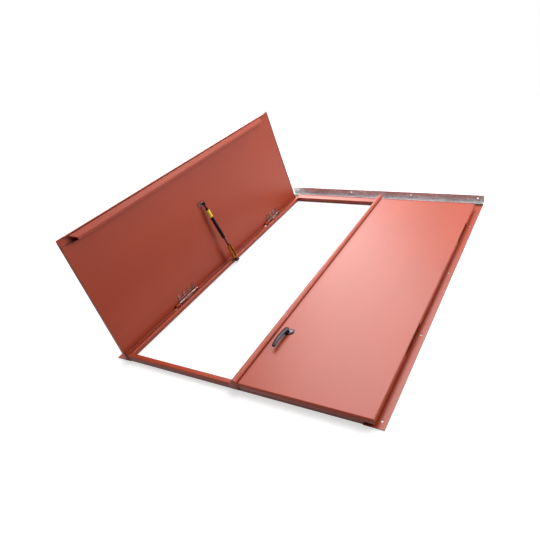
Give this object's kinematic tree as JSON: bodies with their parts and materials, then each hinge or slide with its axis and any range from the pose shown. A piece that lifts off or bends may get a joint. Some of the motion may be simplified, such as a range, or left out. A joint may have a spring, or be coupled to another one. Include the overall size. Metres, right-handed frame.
{
  "type": "bulkhead cellar door",
  "caption": "Low steel bulkhead cellar door: a sloped frame with two hinged leaves, gas springs with safety sleeves, a seam bead, a rain channel and a turning handle.",
  "frame": {"origin": "middle of the sill's lower edge, where the frame lies on the foundation", "axes": "+X to the picture's right leaf, +Y from the sill up to the house, +Z square out of the frame"},
  "size_m": [1.138, 1.4565, 0.5239],
  "materials": {
    "primer": "satin red-brown primer",
    "galvanised": "galvanised sheet",
    "hinge_steel": "zinc plated",
    "pin_steel": "bright",
    "rod_steel": "hard chrome",
    "sleeve_plastic": "orange enamel",
    "tube_black": "semi-gloss black",
    "band_yellow": "yellow band",
    "handle_chrome": "satin chrome"
  },
  "bodies": {
    "frame": {"left_rail": "primer", "right_rail": "primer", "sill": "primer", "header": "primer", "header_flashing": "galvanised", "left_front_hinge_base": "hinge_steel", "left_rear_hinge_base": "hinge_steel", "right_front_hinge_base": "hinge_steel", "right_rear_hinge_base": "hinge_steel", "left_front_hinge_pin": "pin_steel", "left_rear_hinge_pin": "pin_steel", "right_front_hinge_pin": "pin_steel", "right_rear_hinge_pin": "pin_steel", "left_spring_foot": "hinge_steel", "right_spring_foot": "hinge_steel"},
    "left_leaf": {"left_leaf_sheet": "primer", "left_rain_channel": "primer", "left_front_hinge_strap": "hinge_steel", "left_rear_hinge_strap": "hinge_steel", "left_spring_head": "hinge_steel"},
    "right_leaf": {"right_leaf_sheet": "primer", "seam_bead": "primer", "right_front_hinge_strap": "hinge_steel", "right_rear_hinge_strap": "hinge_steel", "right_spring_head": "hinge_steel", "handle_rose": "handle_chrome"},
    "handle": {"handle_lever": "handle_chrome", "latch_cam": "hinge_steel"},
    "left_rod": {"left_spring_rod": "rod_steel", "left_safety_sleeve": "sleeve_plastic"},
    "left_tube": {"left_spring_tube": "tube_black", "left_spring_band": "band_yellow"},
    "right_rod": {"right_spring_rod": "rod_steel", "right_safety_sleeve": "sleeve_plastic"},
    "right_tube": {"right_spring_tube": "tube_black", "right_spring_band": "band_yellow"}
  },
  "joints": [
    {"name": "left_leaf_hinge", "type": "hinge", "parent": "frame", "child": "left_leaf", "pos_m": [-0.508, 0, 0.022], "axis": [0, -1, 0], "range_deg": [-97.8, 0]},
    {"name": "right_leaf_hinge", "type": "hinge", "parent": "frame", "child": "right_leaf", "pos_m": [0.508, 0, 0.022], "axis": [0, 1, 0], "range_deg": [0, 97.8]},
    {"name": "handle_turn", "type": "hinge", "parent": "right_leaf", "child": "handle", "pos_m": [0.0655, 0.281, 0.031], "axis": [0, 0, 1], "range_deg": [0, 90]},
    {"name": "left_spring_pivot", "type": "hinge", "parent": "frame", "child": "left_rod", "pos_m": [-0.467, 0.71, 0.0135], "axis": [-0.0091, -0.9999, 0.0072], "range_deg": [-103.48, 0.1]},
    {"name": "left_spring_stroke", "type": "slide", "parent": "left_rod", "child": "left_tube", "axis": [-0.2306, -0.0845, 0.9694], "range_m": [-0.05645, 0.0002]},
    {"name": "right_spring_pivot", "type": "hinge", "parent": "frame", "child": "right_rod", "pos_m": [0.467, 0.71, 0.0135], "axis": [-0.0091, 0.9999, -0.0072], "range_deg": [-0.1, 103.48]},
    {"name": "right_spring_stroke", "type": "slide", "parent": "right_rod", "child": "right_tube", "axis": [-0.9947, -0.1025, 0], "range_m": [-0.0002, 0.05645]}
  ],
  "couplings": [
    {"joint": "left_spring_pivot", "follows": "left_leaf_hinge", "ratio": 1.0571},
    {"joint": "left_spring_stroke", "follows": "left_leaf_hinge", "m_per_rad": 0.032954},
    {"joint": "right_spring_pivot", "follows": "right_leaf_hinge", "ratio": 1.0571},
    {"joint": "right_spring_stroke", "follows": "right_leaf_hinge", "m_per_rad": 0.032954}
  ]
}
